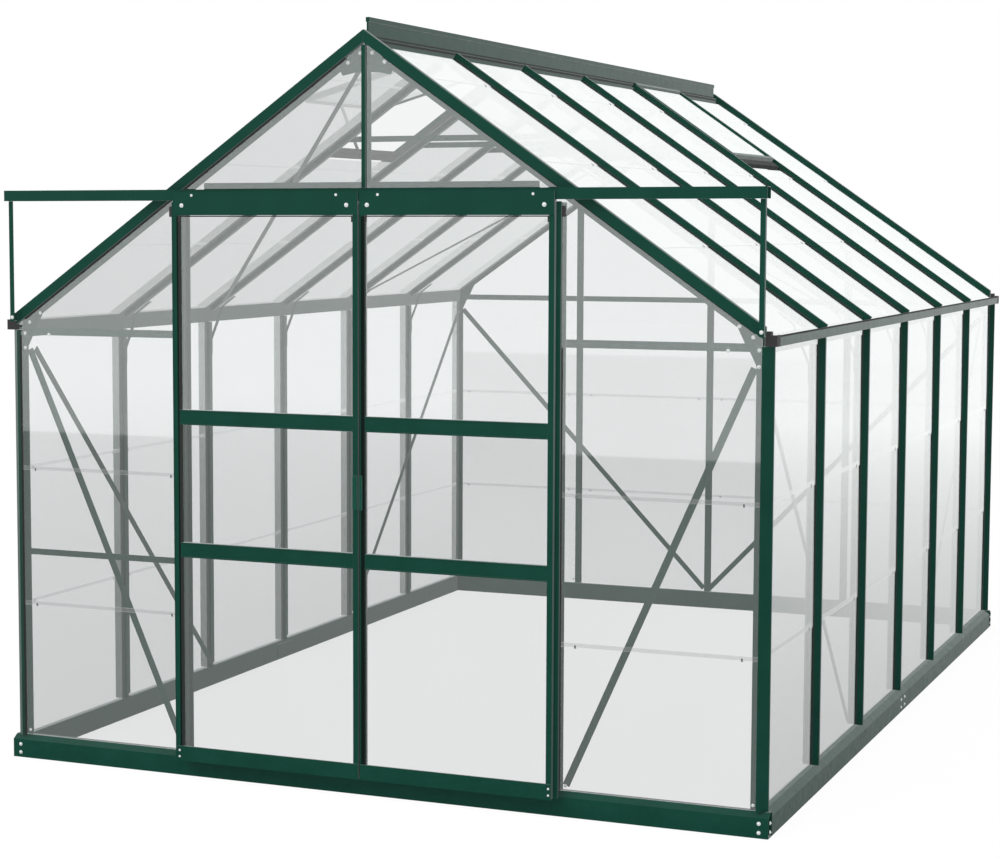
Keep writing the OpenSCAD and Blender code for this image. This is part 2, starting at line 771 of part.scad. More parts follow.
module hangers(w) {
    hanger(45);
    hanger(w - 45);
    // guide block at the top of the outer stile
    translate([w - 14, -door_off + 0.2, door_z1 - 78]) cube([25, 8, 32]);
}

module door_handle(plate_w) {
    translate([0, door_front - 3, 898]) cube([plate_w, 2.8, 106]);
    translate([0, door_front - 4.5, 904]) cube([3, 1.7, 94]);
}

left_w = door_w + meet_x;
right_w = door_w - meet_x;

module place_right() { on_front() translate([meet_x + door_gap / 2, 0, 0]) children(); }
module place_left() { on_front() mirror([1, 0, 0]) translate([door_gap / 2 - meet_x, 0, 0]) children(); }

module door_left_frame() { color(green) place_left() door_frame(left_w); }
module door_left_glass() { color(clear) place_left() door_glass(left_w); }
module door_left_hangers() { color(black) place_left() hangers(left_w); }
module door_left_handle() { color(green) place_left() door_handle(16); }
module door_right_frame() { color(green) place_right() door_frame(right_w); }
module door_right_glass() { color(clear) place_right() door_glass(right_w); }
module door_right_hangers() { color(black) place_right() hangers(right_w); }
module door_right_handle() { color(green) place_right() door_handle(10); }

base_front();
base_rear();
base_left();
base_right();
corner_posts();
side_bars();
eaves_left();
eaves_right();
gutter_left();
gutter_right();
gutter_caps();
ridge();
gable_bars_front();
gable_bars_rear();
door_posts();
front_header();
gable_centre_bar();
front_rails();
rear_bars();
rear_eaves_rail();
door_track();
track_posts();
roof_bars_left();
roof_bars_right();
collar_ties();
knee_braces();
wall_braces();
roof_braces();
gussets();
glass_left();
glass_right();
glass_front();
glass_rear();
roof_glass_left();
roof_glass_right();
vent_left_sash();
vent_left_glass();
vent_right_sash();
vent_right_glass();
vent_sills();
vent_stay();
door_left_frame();
door_left_glass();
door_left_hangers();
door_left_handle();
door_right_frame();
door_right_glass();
door_right_hangers();
door_right_handle();
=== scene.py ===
"""Looks of a glass greenhouse: powder-coated frame, lapped panes, seals, clips and bolts.

Everything is in metres in the frame's own axes: +X right of the doors, +Y to the rear, +Z up.
"""
import enum
import logging
import math
from collections.abc import Callable, Iterable
from dataclasses import dataclass, field

import bmesh
import bpy
from mathutils import Matrix, Vector


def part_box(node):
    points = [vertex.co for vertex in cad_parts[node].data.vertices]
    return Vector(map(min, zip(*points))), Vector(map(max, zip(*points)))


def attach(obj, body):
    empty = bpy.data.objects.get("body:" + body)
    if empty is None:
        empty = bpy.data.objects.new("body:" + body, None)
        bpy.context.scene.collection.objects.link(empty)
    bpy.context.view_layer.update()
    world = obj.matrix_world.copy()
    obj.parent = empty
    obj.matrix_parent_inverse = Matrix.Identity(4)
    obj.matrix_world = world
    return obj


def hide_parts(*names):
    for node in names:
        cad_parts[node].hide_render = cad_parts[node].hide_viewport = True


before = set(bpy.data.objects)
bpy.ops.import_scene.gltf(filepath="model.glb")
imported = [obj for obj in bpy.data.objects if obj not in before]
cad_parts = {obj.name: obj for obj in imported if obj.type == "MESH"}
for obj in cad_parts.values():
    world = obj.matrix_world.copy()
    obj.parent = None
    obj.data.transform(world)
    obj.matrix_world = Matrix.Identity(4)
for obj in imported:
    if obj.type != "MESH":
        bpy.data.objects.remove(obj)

LOG = logging.getLogger("greenhouse")
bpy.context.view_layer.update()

Point = tuple[float, float, float]
Colour = tuple[float, float, float]


# ---- shader nodes -----------------------------------------------------------------

class Value:
    """A shader socket that takes part in Python arithmetic."""

    def __init__(self, tree: bpy.types.NodeTree, socket: bpy.types.NodeSocket) -> None:
        """Wraps one output socket of a tree."""
        self.tree = tree
        self.socket = socket

    def _math(self, operation: str, first: object, second: object) -> "Value":
        """Adds a Math node.

        Args:
            operation: The Math node's operation.
            first: A Value or a number.
            second: A Value or a number.

        Returns:
            The node's result.
        """
        node = self.tree.nodes.new("ShaderNodeMath")
        node.operation = operation
        for socket, item in zip(node.inputs, (first, second)):
            if isinstance(item, Value):
                self.tree.links.new(item.socket, socket)
            else:
                socket.default_value = item
        return Value(self.tree, node.outputs[0])

    def __add__(self, other: object) -> "Value":
        """Sum."""
        return self._math("ADD", self, other)

    __radd__ = __add__

    def __mul__(self, other: object) -> "Value":
        """Product."""
        return self._math("MULTIPLY", self, other)

    __rmul__ = __mul__

    def __sub__(self, other: object) -> "Value":
        """Difference."""
        return self._math("SUBTRACT", self, other)

    def __rsub__(self, other: object) -> "Value":
        """Reflected difference, so that 1 - mask works."""
        return self._math("SUBTRACT", other, self)

    def __pow__(self, other: object) -> "Value":
        """Power."""
        return self._math("POWER", self, other)

    def clamped(self) -> "Value":
        """The value held between 0 and 1."""
        held = self._math("ADD", self, 0.0)
        held.socket.node.use_clamp = True
        return held


class Recipe:
    """Builds one material's nodes."""

    def __init__(self, name: str) -> None:
        """Starts an empty node material with an output."""
        self.material = bpy.data.materials.new(name)
        self.material.use_nodes = True
        self.tree = self.material.node_tree
        self.tree.nodes.clear()
        self.output = self.tree.nodes.new("ShaderNodeOutputMaterial")

    def node(self, kind: str, settings: dict[str, object], sockets: dict[str | int, object],
             out: str | int = 0) -> Value:
        """Adds any node.

        Args:
            kind: The node's type without the ShaderNode prefix.
            settings: Properties set first; a ramp takes "stops" as (place, colour) pairs.
            sockets: Input values or links by name or index.
            out: The output to return.

        Returns:
            The chosen output.
        """
        node = self.tree.nodes.new("ShaderNode" + kind)
        for name, value in settings.items():
            if name == "stops":
                ramp = node.color_ramp.elements
                while len(ramp) < len(value):
                    ramp.new(0.5)
                for element, (place, colour) in zip(ramp, value):
                    element.position = place
                    element.color = colour
            else:
                setattr(node, name, value)
        for name, value in sockets.items():
            if isinstance(value, Value):
                self.tree.links.new(value.socket, node.inputs[name])
            else:
                node.inputs[name].default_value = value
        return Value(self.tree, node.outputs[out])

    def coords(self, scale: Point = (1.0, 1.0, 1.0)) -> Value:
        """Object coordinates, stretched by a Mapping node."""
        place = self.node("TexCoord", {}, {}, "Object")
        return self.node("Mapping", {}, {"Vector": place, "Scale": scale})

    def noise(self, scale: float, detail: float = 2.0, stretch: Point = (1.0, 1.0, 1.0)) -> Value:
        """Noise on Object coordinates."""
        return self.node("TexNoise", {}, {"Vector": self.coords(stretch), "Scale": scale,
                                          "Detail": detail}, "Fac")

    def ramp(self, value: Value, low: float, high: float) -> Value:
        """A clamped 0 to 1 step between two levels of a value."""
        return self.node("MapRange", {"clamp": True},
                         {"Value": value, "From Min": low, "From Max": high})

    def mix(self, factor: Value, first: Colour, second: Colour) -> Value:
        """Blends two colours by a value."""
        return self.node("Mix", {"data_type": "RGBA"},
                         {0: factor, 6: (*first, 1.0), 7: (*second, 1.0)}, 2)

    def facing(self) -> Value:
        """0 where a face meets the eye squarely, rising to 1 at its edge."""
        return self.node("LayerWeight", {}, {"Blend": 0.5}, "Facing")

    def bump(self, height: Value, strength: float, distance: float) -> Value:
        """A Bump node's normal."""
        return self.node("Bump", {}, {"Height": height, "Strength": strength, "Distance": distance})

    def finish(self, shader: Value) -> bpy.types.Material:
        """Links the surface and returns the material."""
        self.tree.links.new(shader.socket, self.output.inputs["Surface"])
        return self.material


# ---- finishes ---------------------------------------------------------------------

@dataclass(frozen=True)
class PowderCoat:
    """Satin powder coat on aluminium: mottled colour, orange-peel skin, dust that settles low."""

    name: str
    colour: Colour
    light: Colour
    roughness: float = 0.3
    shine: float = 0.14
    coat: float = 0.22

    def material(self) -> bpy.types.Material:
        """Builds the material."""
        r = Recipe(self.name)
        mottle = r.ramp(r.noise(9.0, 4.0), 0.3, 0.7)
        height = r.node("SeparateXYZ", {}, {"Vector": r.coords()}, "Z")
        dust = r.ramp(r.noise(55.0, 6.0), 0.5, 0.85) * (1.0 - r.ramp(height, 0.02, 0.35)) * 0.5
        base = r.mix(mottle * 0.55 + dust, self.colour, self.light)
        peel = r.noise(900.0, 1.0)
        rough = r.ramp(r.noise(30.0, 3.0), 0.2, 0.8) * 0.1 + dust * 0.3 + self.roughness
        return r.finish(r.node("BsdfPrincipled", {}, {
            "Base Color": base, "Roughness": rough, "Specular IOR Level": self.shine,
            "Coat Weight": r.ramp(r.facing(), 0.25, 0.6) * self.coat, "Coat Roughness": 0.25,
            "Normal": r.bump(peel, 0.12, 0.0004)}))


@dataclass(frozen=True)
class Zinc:
    """Bright zinc of bolt heads, washers and spring clips."""

    name: str
    colour: Colour = (0.88, 0.91, 0.90)
    dull: Colour = (0.70, 0.75, 0.75)
    metallic: float = 0.3

    def material(self) -> bpy.types.Material:
        """Builds the material."""
        r = Recipe(self.name)
        spangle = r.noise(420.0, 3.0)
        base = r.mix(r.ramp(spangle, 0.35, 0.75), self.colour, self.dull)
        return r.finish(r.node("BsdfPrincipled", {}, {
            "Base Color": base, "Metallic": self.metallic, "Roughness": spangle * 0.3 + 0.2,
            "Normal": r.bump(spangle, 0.15, 0.0003)}))


@dataclass(frozen=True)
class Moulding:
    """Black plastic or rubber with a fine moulded grain."""

    name: str
    colour: Colour = (0.018, 0.017, 0.018)
    grain: float = 600.0
    roughness: float = 0.5

    def material(self) -> bpy.types.Material:
        """Builds the material."""
        r = Recipe(self.name)
        grain = r.noise(self.grain, 3.0)
        worn = r.ramp(r.noise(40.0, 4.0), 0.5, 0.9) * 0.5
        pale = tuple(channel * 1.9 for channel in self.colour)
        return r.finish(r.node("BsdfPrincipled", {}, {
            "Base Color": r.mix(worn, self.colour, pale),
            "Roughness": grain * 0.2 + self.roughness,
            "Normal": r.bump(grain, 0.25, 0.0004)}))


@dataclass(frozen=True)
class Bristle:
    """Dark brush pile of the draught strips."""

    name: str

    def material(self) -> bpy.types.Material:
        """Builds the material."""
        r = Recipe(self.name)
        hairs = r.noise(500.0, 2.0, (1.0, 1.0, 4.0))
        return r.finish(r.node("BsdfPrincipled", {}, {
            "Base Color": r.mix(hairs, (0.01, 0.012, 0.011), (0.05, 0.06, 0.056)),
            "Roughness": 0.9, "Normal": r.bump(hairs, 0.8, 0.001)}))


@dataclass(frozen=True)
class FloatGlass:
    """Thin sheet glass: a tinted way through, a sheen that grows at a slant, faint film."""

    name: str
    tint: Colour = (0.941, 0.944, 0.946)
    sheen: float = 0.125
    film: float = 0.015

    def material(self) -> bpy.types.Material:
        """Builds the material."""
        r = Recipe(self.name)
        through = r.node("BsdfTransparent", {}, {"Color": (*self.tint, 1.0)})
        gloss = r.node("BsdfGlossy", {}, {"Color": (0.97, 1.0, 0.99, 1.0), "Roughness": 0.02})
        film = r.ramp(r.noise(3.0, 5.0), 0.35, 0.75) * self.film
        share = (r.facing() ** 4.5 * 1.28 + film + self.sheen).clamped()
        pane = r.node("MixShader", {}, {0: share, 1: through, 2: gloss})
        return r.finish(pane)


class Finish(enum.Enum):
    """The finishes used on the greenhouse."""

    GREEN = PowderCoat("green_powder_coat", (0.0015, 0.048, 0.030), (0.004, 0.062, 0.041))
    # EAVES is a paler, glossier copy of the frame's green coat: painted light for the brighter faces
    # of the gutters and eaves.
    EAVES = PowderCoat("gutter_coat_painted_sheen", (0.004, 0.050, 0.034), (0.009, 0.066, 0.048), 0.34, 0.14,
                       0.35)
    HANDLE = PowderCoat("handle_coat", (0.004, 0.068, 0.044), (0.007, 0.080, 0.054))
    # SHADE is painted shade: a near-black coat for parts and strips that look dark only from shadow.
    SHADE = PowderCoat("shaded_coat", (0.0008, 0.007, 0.005), (0.0015, 0.010, 0.007), 0.5, 0.1, 0.0)
    ZINC = Zinc("zinc_fixings")
    SPRING = Zinc("spring_wire", (0.16, 0.18, 0.18), (0.08, 0.09, 0.09), 0.5)
    # Real black glazing rubber, also used for the painted shadow strips under the ridge.
    RUBBER = Moulding("rubber_and_painted_shade", (0.006, 0.009, 0.008), 300.0, 0.55)
    PLASTIC = Moulding("black_moulding", (0.020, 0.018, 0.019))
    BRUSH = Bristle("brush_pile")
    GLASS = FloatGlass("float_glass")

    def material(self) -> bpy.types.Material:
        """The finish's material, built once."""
        return bpy.data.materials.get(self.value.name) or self.value.material()


# ---- mesh helpers -----------------------------------------------------------------

class Shape:
    """One piece's mesh under construction."""

    def __init__(self) -> None:
        """Starts empty."""
        self.bm = bmesh.new()

    def block(self, low: Point, high: Point, matrix: Matrix | None = None,
              bevel: float = 0.0) -> list[bmesh.types.BMVert]:
        """Adds a box between two corners.

        Args:
            low: One corner.
            high: The opposite corner.
            matrix: Where the box's own frame stands.
            bevel: Width of the bevel on all its edges.

        Returns:
            The new vertices, before any bevel.
        """
        size = [abs(b - a) for a, b in zip(low, high)]
        middle = [(a + b) / 2 for a, b in zip(low, high)]
        place = Matrix.Translation(middle) @ Matrix.Diagonal((*size, 1.0))
        if matrix is not None:
            place = matrix @ place
        verts = bmesh.ops.create_cube(self.bm, size=1.0, matrix=place)["verts"]
        if place.determinant() < 0:
            faces = {face for vert in verts for face in vert.link_faces}
            bmesh.ops.reverse_faces(self.bm, faces=list(faces))
        if bevel > 0:
            edges = list({edge for vert in verts for edge in vert.link_edges})
            bmesh.ops.bevel(self.bm, geom=edges, offset=bevel, affect="EDGES", segments=1,
                            profile=0.5, material=-1)
        return verts

    def cut(self, verts: Iterable[bmesh.types.BMVert], point: Vector, normal: Vector) -> None:
        """Cuts away what lies beyond a plane and closes the cut."""
        faces = {face for vert in verts for face in vert.link_faces}
        edges = {edge for face in faces for edge in face.edges}
        geom = [*faces, *edges, *{vert for face in faces for vert in face.verts}]
        cut = bmesh.ops.bisect_plane(self.bm, geom=geom, plane_co=point, plane_no=normal,
                                     clear_outer=True)["geom_cut"]
        rim = [item for item in cut if isinstance(item, bmesh.types.BMEdge)]
        bmesh.ops.contextual_create(self.bm, geom=rim)

    def turned(self, centre: Point, axis: Point, radius: float, depth: float, segments: int = 10,
               top: float = 1.0) -> None:
        """Adds a disc or frustum whose foot is centred on a point.

        Args:
            centre: The middle of its foot.
            axis: The way it stands.
            radius: Its foot's radius.
            depth: Its height.
            segments: Sides round it.
            top: Its top's radius over its foot's.
        """
        turn = Vector((0, 0, 1)).rotation_difference(Vector(axis)).to_matrix().to_4x4()
        place = Matrix.Translation(centre) @ turn @ Matrix.Translation((0, 0, depth / 2))
        bmesh.ops.create_cone(self.bm, cap_ends=True, segments=segments, radius1=radius,
                              radius2=radius * top, depth=depth, matrix=place)

    def bolt(self, centre: Point, axis: Point, size: float = 0.005) -> None:
        """Adds a washer and a domed head on a face."""
        self.turned(centre, axis, size * 1.5, size * 0.25, 12)
        lift = Vector(axis).normalized() * size * 0.25
        self.turned(Vector(centre) + lift, axis, size, size * 0.5, 8, 0.85)
        self.turned(Vector(centre) + lift * 3, axis, size * 0.85, size * 0.3, 8, 0.45)

    def piece(self, name: str, finish: Finish, body: str = "house",
              slot: str = "green_frame") -> bpy.types.Object:
        """Closes the mesh into an object that rides on a body.

        Args:
            name: The piece's name.
            finish: Its finish.
            body: The body it moves with.
            slot: Not used.

        Returns:
            The new object.
        """
        mesh = bpy.data.meshes.new(name)
        self.bm.to_mesh(mesh)
        self.bm.free()
        mesh.materials.append(finish.material())
        piece = bpy.data.objects.new(name, mesh)
        bpy.context.collection.objects.link(piece)
        piece.visible_glossy = False
        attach(piece, body)
        LOG.info("%s: %d faces on %s", name, len(mesh.polygons), body)
        return piece


# ---- where things stand -----------------------------------------------------------

@dataclass
class Layout:
    """Places read from the frame, and the few section sizes that the pieces seat on."""

    corner: float = 0.021
    side_glass: float = 0.037
    gable_glass: float = 0.020
    roof_glass: float = 0.026
    glass: float = 0.003
    side_nose: float = 0.029
    roof_nose: float = 0.018
    gable_nose: float = 0.017
    neck: float = 0.003
    nose_half: float = 0.006
    laps: tuple[float, float] = (0.5136, 0.9626)
    cover: float = 0.449
    half_w: float = field(init=False)
    half_l: float = field(init=False)
    apex: float = field(init=False)
    pitch: float = field(init=False)
    bay_x: float = field(init=False)
    bay_y: float = field(init=False)
    base_top: float = field(init=False)

    def __post_init__(self) -> None:
        """Reads the frame's boxes and the roof's slope."""
        low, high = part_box("base_front")
        self.half_w = high[0]
        self.half_l = -low[1]
        self.base_top = high[2]
        self.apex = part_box("gable_bars_front")[1][2]
        self.pitch = self._slope("roof_glass_right")
        self.bay_x = (self.half_w - self.corner) / 2
        self.bay_y = (self.half_l - self.corner) / 3

    @staticmethod
    def _slope(node: str) -> float:
        """The slope of a node's largest upward face, in radians."""
        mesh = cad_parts[node].data
        faces = [face for face in mesh.polygons if face.normal.z > 0.1]
        best = max(faces, key=lambda face: face.area)
        return math.atan2(abs(best.normal.x), best.normal.z)

    def roof(self, side: int) -> Matrix:
        """The frame of one slope: X down it, Y to the rear, Z out of it."""
        c, s = math.cos(self.pitch), math.sin(self.pitch)
        return Matrix(((side * c, 0, side * s, 0), (0, 1, 0, 0), (-s, 0, c, self.apex),
                       (0, 0, 0, 1)))

    def wall(self, side: int) -> Matrix:
        """The frame of a side wall: X to the rear, Y inward, Z up, Y = 0 on the base's face."""
        return Matrix(((0, -side, 0, side * self.half_w), (1, 0, 0, 0), (0, 0, 1, 0),
                       (0, 0, 0, 1)))

    def gable(self, end: int) -> Matrix:
        """The frame of a gable: X to the right, Y inward, Z up; end is -1 front, 1 rear."""
        return Matrix(((1, 0, 0, 0), (0, -end, 0, end * self.half_l), (0, 0, 1, 0),
                       (0, 0, 0, 1)))

    def roof_z(self, x: float, depth: float = 0.0) -> float:
        """Height of the roof surface, or of a plane under it, over a distance from the middle."""
        return self.apex - math.tan(self.pitch) * abs(x) - depth / math.cos(self.pitch)


# ---- glazing ----------------------------------------------------------------------

@dataclass
class LappedGlazing:
    """Panes 457 mm high, each lapped over the one below and held by spring clips."""

    at: Layout
    lap: float = 0.012
    clip_in: float = 0.05
    clip: tuple[float, float] = (0.005, 0.014)
    joint: float = 0.0005
    wall_end: float = 0.038
    roof_end: float = 0.0275
    roof_top: float = 0.047

    def _column(self, glass: Shape, clips: Shape, matrix: Matrix, x0: float, x1: float,
                levels: list[float], depth: float) -> None:
        """Adds one bay's panes and the clips at its laps.

        Args:
            glass: Where the panes go.
            clips: Where the clips go.
            matrix: The wall's frame.
            x0: One side of the bay's glass.
            x1: The other side.
            levels: The heights of the panes' ends, from the foot.
            depth: The depth of the panes' outer face.
        """
        t = self.at.glass
        for number, (low, high) in enumerate(zip(levels, levels[1:])):
            top = high + self.lap if number < len(levels) - 2 else high
            verts = glass.block((x0, depth, low), (x1, depth + t, top), matrix)
            lift = t * 1.05 if number else 0.0
            inverse = matrix.inverted()
            out = matrix.to_3x3() @ Vector((0, -lift, 0))
            for vert in verts:
                if (inverse @ vert.co).z < (low + top) / 2:
                    vert.co += out
            if number:
                for x in (x0 + self.clip_in, x1 - self.clip_in):
                    self._clip(clips, matrix, x, low, depth - lift)

    def _clip(self, clips: Shape, matrix: Matrix, x: float, z: float, y: float) -> None:
        """Adds a Z clip that hooks under a lapped edge."""
        w, h = self.clip
        clips.block((x - w / 2, y - 0.001, z - 0.002), (x + w / 2, y, z + h * 0.45), matrix)
        clips.block((x - w / 2, y - 0.001, z - 0.003), (x + w / 2, y + 0.004, z - 0.002), matrix)

    def _bays(self, half: float, pitch: float, count: int, edge: float) -> list[tuple[float, float]]:
        """Left and right edges of each bay's glass along a wall."""
        gap = self.at.neck + 0.001
        lines = [(-count / 2 + i) * pitch for i in range(count + 1)]
        ends = [edge - half, *lines[1:-1], half - edge]
        bays = []
        for number, (a, b) in enumerate(zip(ends, ends[1:])):
            left = a if number == 0 else a + gap
            right = b if number == count - 1 else b - gap
            bays.append((left, right))
        return bays

    def walls(self) -> None:
        """Builds both side walls' glass."""
        at = self.at
        for side, name in ((-1, "left"), (1, "right")):
            low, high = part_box("glass_" + name)
            glass, clips = Shape(), Shape()
            levels = [low[2], *at.laps, high[2]]
            for x0, x1 in self._bays(at.half_l, at.bay_y, 6, self.wall_end):
                self._column(glass, clips, at.wall(side), x0, x1, levels, at.side_glass)
            pane = glass.piece("panes_" + name, Finish.GLASS, slot="glass")
            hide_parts("glass_" + name)
            clips.piece("clips_" + name, Finish.SPRING)

    def gables(self) -> None:
        """Builds both gables' glass."""
        at = self.at
        for end, name in ((-1, "front"), (1, "rear")):
            low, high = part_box("glass_" + name)
            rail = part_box("rear_eaves_rail")
            glass, clips = Shape(), Shape()
            matrix = at.gable(end)
            joint = (rail[0][2] + rail[1][2]) / 2
            levels = [low[2], *at.laps, joint - self.joint]
            edge = high[0]
            gap = at.neck + 0.001
            bays = [(at.bay_x + gap, edge), (-edge, -at.bay_x - gap)]
            if end > 0:
                bays += [(gap, at.bay_x - gap), (-at.bay_x + gap, -gap)]
            for x0, x1 in bays:
                self._column(glass, clips, matrix, x0, x1, levels, at.gable_glass)
            upper = joint + self.joint
            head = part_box("door_track")[1][2] + 0.003
            tops = [(at.bay_x + gap, edge - 0.004, upper)]
            tops.append((gap, at.bay_x - gap, upper) if end > 0 else (gap, at.bay_x - 0.012, head))
            for x0, x1, z0 in tops:
                for s in (-1, 1):
                    self._sheet(glass, matrix, s * x0, s * x1, z0, s)
            pane = glass.piece("panes_" + name, Finish.GLASS, slot="glass")
            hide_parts("glass_" + name)
            clips.piece("clips_" + name, Finish.SPRING)

    def _sheet(self, glass: Shape, matrix: Matrix, x0: float, x1: float, z0: float,
               side: int) -> None:
        """Adds a gable pane whose top follows the roof."""
        at = self.at
        low = (min(x0, x1), at.gable_glass, z0)
        high = (max(x0, x1), at.gable_glass + at.glass, at.apex)
        verts = glass.block(low, high, matrix)
        normal = Vector((side * math.sin(at.pitch), 0, math.cos(at.pitch)))
        glass.cut(verts, Vector((0, 0, at.roof_z(0, 0.028))), normal)

    def roofs(self) -> None:
        """Builds both roof slopes' glass."""
        at = self.at
        for side, name, vent in ((-1, "left", 1), (1, "right", 4)):
            matrix = at.roof(side) @ Matrix(((0, 0, -1, 0), (1, 0, 0, 0), (0, -1, 0, 0),
                                             (0, 0, 0, 1)))
            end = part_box("roof_glass_" + name)
            foot = max(abs(end[0][0]), abs(end[1][0]))
            foot = (foot + at.roof_glass * math.sin(at.pitch)) / math.cos(at.pitch)
            glass, clips = Shape(), Shape()
            for number, (x0, x1) in enumerate(self._bays(at.half_l, at.bay_y, 6, self.roof_end)):
                top = self.roof_top
                if number == vent:
                    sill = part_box("vent_sills")[1][0] if side > 0 else -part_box("vent_sills")[0][0]
                    top = (sill + 0.014) / math.cos(at.pitch) + 0.004
                laps = [foot - at.cover * k for k in range(1, 4) if foot - at.cover * k > top + 0.02]
                levels = [-foot, *[-u for u in laps], -top]
                self._column(glass, clips, matrix, x0, x1, levels, at.roof_glass)
            pane = glass.piece("panes_roof_" + name, Finish.GLASS, slot="glass")
            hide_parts("roof_glass_" + name)
            clips.piece("clips_roof_" + name, Finish.SPRING)


@dataclass
class GlazingSeals:
    """Black strips that press on the glass beside each bar."""

    at: Layout

    def _pair(self, shape: Shape, matrix: Matrix, x: float, z0: float, z1: float, y0: float,
              y1: float) -> None:
        """Adds the two strips beside one bar's neck."""
        for s in (-1, 1):
            a, b = s * (self.at.neck + 0.0003), s * (self.at.nose_half - 0.0002)
            shape.block((x + min(a, b), y0, z0), (x + max(a, b), y1, z1), matrix)

    def walls(self) -> None:
        """Strips on the side walls' bars and the corner posts."""
        at = self.at
        shape = Shape()
        z0, z1 = at.base_top + 0.003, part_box("glass_left")[1][2]
        y0, y1 = at.side_nose + 0.0003, at.side_glass - 0.0032
        for side in (-1, 1):
            for i in range(-2, 3):
                self._pair(shape, at.wall(side), i * at.bay_y, z0, z1, y0, y1)
            for end in (-1, 1):
                x = end * (at.half_l - 0.0395)
                shape.block((x - 0.003, 0.030, z0), (x + 0.003, y1, z1), at.wall(side))
        shape.piece("wall_seals", Finish.RUBBER, slot="black_plastic")

    def gables(self) -> None:
        """Strips on the gables' uprights, corner posts and sloping bars."""
        at = self.at
        shape = Shape()
        low = at.base_top + 0.003
        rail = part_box("rear_eaves_rail")[0][2]
        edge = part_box("glass_front")[1][0] - 0.0012
        y0, y1 = at.gable_nose - 0.004, at.gable_glass - 0.0003
        for end in (-1, 1):
            matrix = at.gable(end)
            for s in (-1, 1):
                for x in (at.bay_x + at.nose_half + 0.0016, edge):
                    shape.block((s * x - 0.0014, y0, low), (s * x + 0.0014, y1, rail - 0.001), matrix)
                slope = at.roof(s)
                span = (edge - 0.002) / math.cos(at.pitch)
                ys = sorted((end * (at.half_l - y0 + 0.006), end * (at.half_l - y1)))
                shape.block((0.10, ys[0], -0.0345), (span, ys[1], -0.0312), slope)
        shape.piece("gable_seals", Finish.RUBBER, slot="black_plastic")

    def roofs(self) -> None:
        """Strips under the roof bars' noses."""
        at = self.at
        shape = Shape()
        turn = Matrix(((0, 0, -1, 0), (1, 0, 0, 0), (0, -1, 0, 0), (0, 0, 0, 1)))
        foot = (at.half_w - 0.022) / math.cos(at.pitch)
        for side in (-1, 1):
            matrix = at.roof(side) @ turn
            for i in range(-2, 3):
                self._pair(shape, matrix, i * at.bay_y, -foot, -0.06, at.roof_nose + 0.0003,
                           at.roof_glass - 0.0032)
        shape.piece("roof_seals", Finish.RUBBER, slot="black_plastic")


# ---- fixings ----------------------------------------------------------------------

@dataclass
class FrameFixings:
    """Bolts of the base, gussets, braces, track and corners."""

    at: Layout
    size: float = 0.0040
    plate_spots: tuple[tuple[float, float], ...] = (
        (1.2333, 1.412), (1.2147, 1.449), (1.1735, 1.4795), (1.2324, 1.3647),
        (1.1413, 1.409), (0.020, 2.287), (0.061, 2.259))
    plate_face: float = 0.0234

    def base(self) -> None:
        """Corner bolts on both faces of each base corner, and the side rails' splices."""
        at = self.at
        shape = Shape()
        for end in (-1, 1):
            for s in (-1, 1):
                for z in (0.017, 0.044):
                    shape.bolt((s * (at.half_w - 0.028), end * at.half_l, z), (0, end, 0), self.size)
                    shape.bolt((s * at.half_w, end * (at.half_l - 0.02), z), (s, 0, 0), self.size)
        for s in (-1, 1):
            for y in (-0.03, 0.03):
                for z in (0.018, 0.046):
                    shape.bolt((s * at.half_w, y, z), (s, 0, 0), self.size)
        shape.piece("base_bolts", Finish.ZINC)

    def gussets(self) -> None:
        """Bolts of the eaves and apex plates, showing through the gable glass."""
        shape = Shape()
        at = self.at
        for end in (-1, 1):
            y = end * (at.half_l - self.plate_face)
            for s in (-1, 1):
                for x, z in self.plate_spots:
                    shape.bolt((s * x, y, z), (0, end, 0), self.size)
        shape.piece("gusset_bolts", Finish.ZINC)

    def feet(self) -> None:
        """Bolts at the feet of the posts and braces, and under the track's end posts."""
        at = self.at
        shape = Shape()
        z = at.base_top + 0.016
        for end in (-1, 1):
            y = end * (at.half_l - self.plate_face)
            for s in (-1, 1):
                shape.bolt((s * (at.half_w - 0.052), y, z), (0, end, 0), self.size * 0.9)
                shape.bolt((s * (at.bay_x + 0.024), y, z), (0, end, 0), self.size * 0.9)
        low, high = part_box("track_posts")
        for s in (-1, 1):
            shape.bolt((s * (high[0] - 0.0075), low[1], low[2] + 0.014), (0, -1, 0), self.size)
        for s in (-1, 1):
            for i in range(-2, 3):
                x = s * (at.half_w - 0.0605)
                shape.bolt((x, i * at.bay_y, z), (-s, 0, 0), self.size * 0.9)
        shape.piece("foot_bolts", Finish.ZINC)


# ---- doors ------------------------------------------------------------------------

